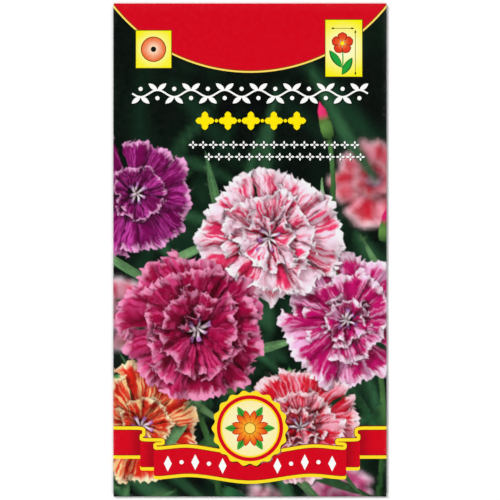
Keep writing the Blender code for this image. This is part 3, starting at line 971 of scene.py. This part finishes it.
# The back: a red head band, ruled boxes to write in, a strip of twelve months and three sowing signs. The
# left panel lies over the right one, which shows from the lap's edge on.
BAND_GREEN = (30, 92, 48)
FRESH_GREEN = (120, 190, 90)
BOX_LEFT = (-35, 2.5)
BOX_RIGHT = (11.5, 35)
for panel, low, high in ((-1, -HALF_FLAT, LAP / 2), (1, LAP / 2 - 3, HALF_FLAT)):
    mark(box(low, 47.5, high, 53.5), RED, panel)
    mark(box(low, 46.7, high, 47.5), GOLD, panel)
    mark(box(low, -57.6, high, -54.0), BAND_GREEN, panel)
for v in range(41, 11, -6):
    for panel, (low, high) in ((-1, BOX_LEFT), (1, BOX_RIGHT)):
        mark(box(low, v, high, v + 0.22), (150, 160, 150), panel)
for month in range(12):
    panel, left, width = (-1, -35 + 4.75 * month, 4.1) if month < 8 else (1, 11.5 + 6.0 * (month - 8), 5.3)
    sown = month in (1, 2, 3, 9)
    framed(left, -2, left + width, 4, (110, 125, 112), FRESH_GREEN if sown else PALE, panel=panel)
SIGN_V = -18
LOW_SUN = (-28, SIGN_V)
beams = [leaf(polar(LOW_SUN, 1.9, math.radians(turn)), 1.9, 0.7, turn, 6) for turn in range(0, 360, 45)]
drop = leaf((-15.5, SIGN_V + 3.4), 6.2, 4.0, 270, 12, 1.7)
sprout = [leaf((-3, SIGN_V - 2.8), length, 2.2, degrees) for length, degrees in ((5.6, 62), (5.0, 118))]
for x, light, dark, shapes in (
    (-28, (255, 190, 30), (225, 110, 20), [*beams, disc(LOW_SUN, 1.7, 24)]),
    (-15.5, (120, 190, 230), (40, 110, 180), [drop]),
    (-3, FRESH_GREEN, BAND_GREEN, sprout),
):
    mark(disc((x, SIGN_V), 5.0), dark, -1)
    mark(disc((x, SIGN_V), 4.6), PALE, -1)
    for shape in shapes:
        mark(shape, light, -1)
framed(12.5, -44, 35, -14, (190, 196, 186), (253, 253, 250), 0.25, 1)
mark(box(-35, -44, 2.5, -30), (205, 226, 190), -1)


# Wrapper, the folded sheet: the blank is cut into triangles along every fold and every mark's outline, with
# extra points where the picture has fine detail, then folded twice over, as printed outside and bare inside.
DETAIL_POINTS = 64000
COARSEST = 8
EDGE_SPACING = 1.2
MARK_SPACING = 3.0
JOG_SPACING = 4
PRINTED_PITCH = 2.6
BARE_PITCH = 3.4


def inside(points, outline):
    """Which points lie in a closed outline, also where it runs over itself."""
    ring = np.array(outline)
    turns = np.zeros(len(points), dtype=int)
    for (u0, v0), (u1, v1) in zip(ring, np.roll(ring, -1, 0)):
        if v0 != v1:
            crosses = (v0 > points[:, 1]) != (v1 > points[:, 1])
            at = u0 + (points[:, 1] - v0) * (u1 - u0) / (v1 - v0)
            turns += (crosses & (points[:, 0] < at)) * (1 if v1 > v0 else -1)
    return turns != 0


def in_picture(points):
    return inside(points, marks[0][0]) & ~inside(points, header(ARC_RADIUS))


# The picture's points are worth keeping where a point differs from the mean of its neighbours
in_view = in_picture(np.stack([film_u.ravel(), film_v.ravel()], 1)).reshape(PICTURE_SHAPE)
seen = np.sqrt(picture)
rows, columns = np.indices(PICTURE_SHAPE)
worth = np.zeros(PICTURE_SHAPE)
for stride in (4, 2, 1):
    around = sum(np.roll(seen, shift, axis) for shift in (-stride, stride) for axis in (0, 1)) / 4
    finer = (rows % stride == 0) & (columns % stride == 0)
    finer &= (rows % (2 * stride) != 0) | (columns % (2 * stride) != 0)
    worth[finer] = np.abs(seen - around).sum(-1)[finer]
worth[~in_view] = 0
kept = (rows % COARSEST == 0) & (columns % COARSEST == 0)
kept.ravel()[np.argsort(-worth.ravel(), kind="stable")[:DETAIL_POINTS]] = True
kept &= in_view
detail = np.stack([film_u[kept], film_v[kept]], 1)


def cut_up(outline, lines, loops, spots):
    """The blank in triangles: its points and its faces, along the outline, the open lines and the loops."""
    points = []
    edges = []
    for ring in [outline] + loops:
        first = len(points)
        points += ring
        edges += [(first + k, first + (k + 1) % len(ring)) for k in range(len(ring))]
    for line in lines:
        first = len(points)
        points += line
        edges += [(first + k, first + k + 1) for k in range(len(line) - 1)]
    points += [tuple(spot) for spot in spots]
    verts, _, faces = delaunay_2d_cdt(points, edges, [], 1, 1e-5, False)[:3]
    verts = np.array([tuple(vert) for vert in verts])
    faces = np.array(faces)
    faces = faces[inside(verts[faces].mean(1), outline)]
    used, faces = np.unique(faces, return_inverse=True)
    return verts[used], faces.reshape(-1, 3)


def strewn_spots(pitch):
    """A staggered lattice over the whole blank, clear of its cut edge."""
    us, vs = np.meshgrid(np.arange(-PANEL_END, PANEL_END, pitch), np.arange(-95, 95, pitch))
    us = us + (np.round(vs / pitch) % 2) * pitch / 2
    points = np.stack([us.ravel(), vs.ravel()], 1) + 0.137
    return points[inside(points, outline)]


outline = finely(blank_outline(), EDGE_SPACING)
lines = []
for u in side_folds:
    lines += [along_line((side * u, -BODY_END), (side * u, BODY_END), EDGE_SPACING) for side in (-1, 1)]
lines += [along_line((u, -BODY_END), (u, BODY_END), JOG_SPACING) for u in jog_folds]
for v in end_folds:
    lines += [along_line((-FLAP_EDGE, end * v), (FLAP_EDGE, end * v), EDGE_SPACING) for end in (-1, 1)]
spread = strewn_spots(PRINTED_PITCH)
spots = np.concatenate([spread[~in_picture(spread)], detail])
outer, outer_faces = cut_up(outline, lines, [finely(shape, MARK_SPACING) for shape, _ in marks], spots)

centres = outer[outer_faces].mean(1)
owner = np.full(len(outer_faces), -1)
for k, (shape, _) in enumerate(marks):
    ring = np.array(shape)
    near = np.flatnonzero(((centres >= ring.min(0)) & (centres <= ring.max(0))).all(1))
    owner[near[inside(centres[near], shape)]] = k
corner_u, corner_v = outer[outer_faces][..., 0], outer[outer_faces][..., 1]
inks = np.broadcast_to(ink(*PALE), (*corner_u.shape, 3)).copy()
below = picture_ink(corner_u, corner_v)
for k, (_, colour) in enumerate(marks):
    mine = owner == k
    inks[mine] = colour(corner_u[mine], corner_v[mine], below[mine]) if callable(colour) else colour


def edge_loop(faces):
    """The vertices along a skin's open edge, in order."""
    sides = np.concatenate([faces[:, [0, 1]], faces[:, [1, 2]], faces[:, [2, 0]]])
    pairs = {tuple(pair) for pair in sides.tolist()}
    after = {a: b for a, b in pairs if (b, a) not in pairs}
    loop = [min(after)]
    while after[loop[-1]] != loop[0]:
        loop.append(after[loop[-1]])
    return np.array(loop)


# The bare side takes the printed side's cut edge, and a strip of paper as thick as the sheet joins the two
outer_loop = edge_loop(outer_faces)
rim = outer[outer_loop]
inner, inner_faces = cut_up([tuple(point) for point in rim], lines, [], strewn_spots(BARE_PITCH))
inner_loop = edge_loop(inner_faces)
inner_loop = inner_loop[[int(np.argmin(np.hypot(*(inner[inner_loop] - point).T))) for point in rim]]
inner_faces = inner_faces[:, ::-1]
near, far = outer_loop, inner_loop + len(outer)
next_near, next_far = np.roll(near, -1), np.roll(far, -1)
wall = np.stack([next_near, near, far, next_near, far, next_far], 1).reshape(-1, 3)
faces = np.concatenate([outer_faces, inner_faces + len(outer), wall])
flat = np.concatenate([outer, inner])
offs = np.concatenate([np.full(len(outer), PAPER / 2), np.full(len(inner), -PAPER / 2)])
sheet = bpy.data.meshes.new("printed_wrapper")
sheet.from_pydata((folded(flat[:, 0], flat[:, 1], offs) * MM).tolist(), [], faces.tolist())

bare_inks = np.broadcast_to(ink(*WHITE), (len(faces) - len(outer_faces), 3, 3))
colours = np.concatenate([inks, bare_inks])
colours = np.concatenate([colours, np.ones((*colours.shape[:2], 1))], 2)
sheet.attributes.new("ink", "FLOAT_COLOR", "CORNER").data.foreach_set("color", colours.ravel())
from_side = np.abs(np.abs(flat[:, 0]) - HALF_FLAT - SIDE_TURN / 2)
from_end = np.abs(np.abs(flat[:, 1]) - HALF_LENGTH - END_TURN / 2)
crease = np.maximum(np.exp(-((from_side / 0.5) ** 2)), np.exp(-((from_end / 0.6) ** 2)))
sheet.attributes.new("crease", "FLOAT", "POINT").data.foreach_set("value", crease)

# A UV map: the printed side at its own proportions, the bare side small beside it, the cut edge above
printed_uv = 0.01 + 0.82 * (outer[outer_faces] / (2 * PANEL_END) + 0.5)
bare_uv = (0.85, 0.05) + 0.14 * (inner[inner_faces] / (2 * PANEL_END) + 0.5)
walked = np.arange(len(outer_loop) + 1) / len(outer_loop) * 0.98 + 0.01
here, there = walked[:-1], walked[1:]
wall_u = np.stack([there, here, here, there, here, there], 1).reshape(-1, 3)
wall_v = np.tile([[0.95, 0.95, 0.97], [0.95, 0.97, 0.97]], (len(here), 1))
uv = np.concatenate([printed_uv, bare_uv, np.stack([wall_u, wall_v], 2)])
sheet.uv_layers.new(name="OFBake").data.foreach_set("uv", uv.ravel())
is_bare = (np.arange(len(faces)) >= len(outer_faces)).astype(np.int32)
sheet.polygons.foreach_set("material_index", is_bare)
sheet.shade_smooth()
sheet.set_sharp_from_angle(angle=math.radians(50))
sheet.validate()


def new_material(name):
    made = bpy.data.materials.new(name)
    made.use_nodes = True
    return made, made.node_tree.nodes["Principled BSDF"]


def covered(shader):
    """The wire of the place, on its piece, that a shader covers."""
    return put(shader.id_data, "ShaderNodeTexCoord", output="Object")


def bump(height, strength, distance):
    """A finish's relief, from random heights. The distance is in mm."""
    sockets = {"Strength": strength, "Distance": distance * MM, "Height": height}
    return put(height.tree, "ShaderNodeBump", sockets)


printed, shader = new_material("coated_print")
where = covered(shader)
inked = put(where.tree, "ShaderNodeAttribute", output="Color", attribute_name="ink")
worn = put(where.tree, "ShaderNodeAttribute", output="Fac", attribute_name="crease")
grain = span(noise(where, 3800.0, 3.0), 0.3, 0.7, 0.985, 1.015)
rubbed = worn * span(noise(where, 900.0, 5.0), 0.62, 0.78, 0.0, 0.3)
fill(shader, {
    "Base Color": blend(rubbed, inked * grain, (0.8, 0.79, 0.76, 1)),
    "Specular IOR Level": 0.3,
    "Roughness": span(noise(where, 600.0, 3.0), 0.3, 0.7, 0.19, 0.25),
    "Normal": bump(noise(where, 2400.0, 4.0), 0.12, 0.03),
})

bare, shader = new_material("bare_paper")
fibre = noise(covered(shader) * (1, 3, 1), 2600.0, 5.0)
fill(shader, {
    "Base Color": blend(span(fibre, 0.3, 0.7), (0.80, 0.79, 0.75, 1), (0.88, 0.87, 0.84, 1)),
    "Roughness": 0.85,
    "Normal": bump(fibre, 0.35, 0.04),
})
for finish in (printed, bare):
    sheet.materials.append(finish)

wrapper = link("printed_wrapper", sheet)
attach(wrapper, "root")
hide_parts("wrapper")


# Glue: thin lines of milky packaging glue, set under the lap and under each flap. Their CAD solids stay.
glue, shader = new_material("set_glue")
where = covered(shader)
clouds = span(noise(where, 700.0, 3.0), 0.3, 0.7)
fill(shader, {
    "Base Color": blend(clouds, (0.74, 0.71, 0.60, 1), (0.88, 0.86, 0.78, 1)),
    "Roughness": span(clouds, 0, 1, 0.22, 0.38),
    "Subsurface Weight": 0.25,
    "Subsurface Radius": (0.4, 0.35, 0.25),
    "Subsurface Scale": 0.4 * MM,
    "Normal": bump(noise(where, 1500.0, 2.0), 0.3, 0.04),
})


def coated(name, finish):
    """Gives a CAD solid that stays its finish."""
    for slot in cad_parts[name].material_slots:
        slot.material = finish


for name in ("seam_glue", "bottom_flap_glue", "top_flap_glue"):
    coated(name, glue)


# Seeds: flat black seeds of a pink, loose in the packet, with a dry, finely wrinkled coat. Their CAD solids
# stay.
coat, shader = new_material("seed_coat")
wrinkle = noise(covered(shader), 5200.0, 6.0)
fill(shader, {
    "Base Color": blend(span(wrinkle, 0.35, 0.7), (0.010, 0.009, 0.008, 1), (0.060, 0.050, 0.042, 1)),
    "Roughness": span(wrinkle, 0.3, 0.7, 0.45, 0.7),
    "Normal": bump(wrinkle, 0.6, 0.05),
})
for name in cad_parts:
    if name.startswith("seed_"):
        coated(name, coat)


# Floor and lights: a plain white sweep under soft, nearly even light that is a little stronger from the
# upper left, so that the packet has only a faint shadow at its right and lower edges.
FLOOR_HALF = 2
FLOOR_Z = -0.01 * MM
floor_mesh = bpy.data.meshes.new("floor")
corners = [(x, y, FLOOR_Z) for x, y in box(-FLOOR_HALF, -FLOOR_HALF, FLOOR_HALF, FLOOR_HALF)]
floor_mesh.from_pydata(corners, [], [(0, 1, 2, 3)])
floor = link("floor", floor_mesh)
sweep, shader = new_material("white_sweep")
fill(shader, {"Base Color": (0.95, 0.95, 0.95, 1), "Roughness": 1.0, "Specular IOR Level": 0.0})
floor_mesh.materials.append(sweep)

# Suns: turn about the upright axis and height above the horizon, in degrees, strength, and width in degrees
SUNS = ((135, 48, 2.25, 18), (-45, 48, 0.74, 40), (45, 50, 0.74, 40), (-135, 50, 0.74, 40))
for k, (azimuth, elevation, strength, width) in enumerate(SUNS):
    sun = link(f"sun_{k}", bpy.data.lights.new(f"sun_{k}", "SUN"))
    sun.data.energy = strength
    sun.data.angle = math.radians(width)
    sun.rotation_euler = (0, math.radians(90 - elevation), math.radians(azimuth))
scene.world = bpy.data.worlds.new("room")
scene.world.use_nodes = True
fill(scene.world.node_tree.nodes["Background"], {"Color": (1, 1, 1, 1), "Strength": 0.04})
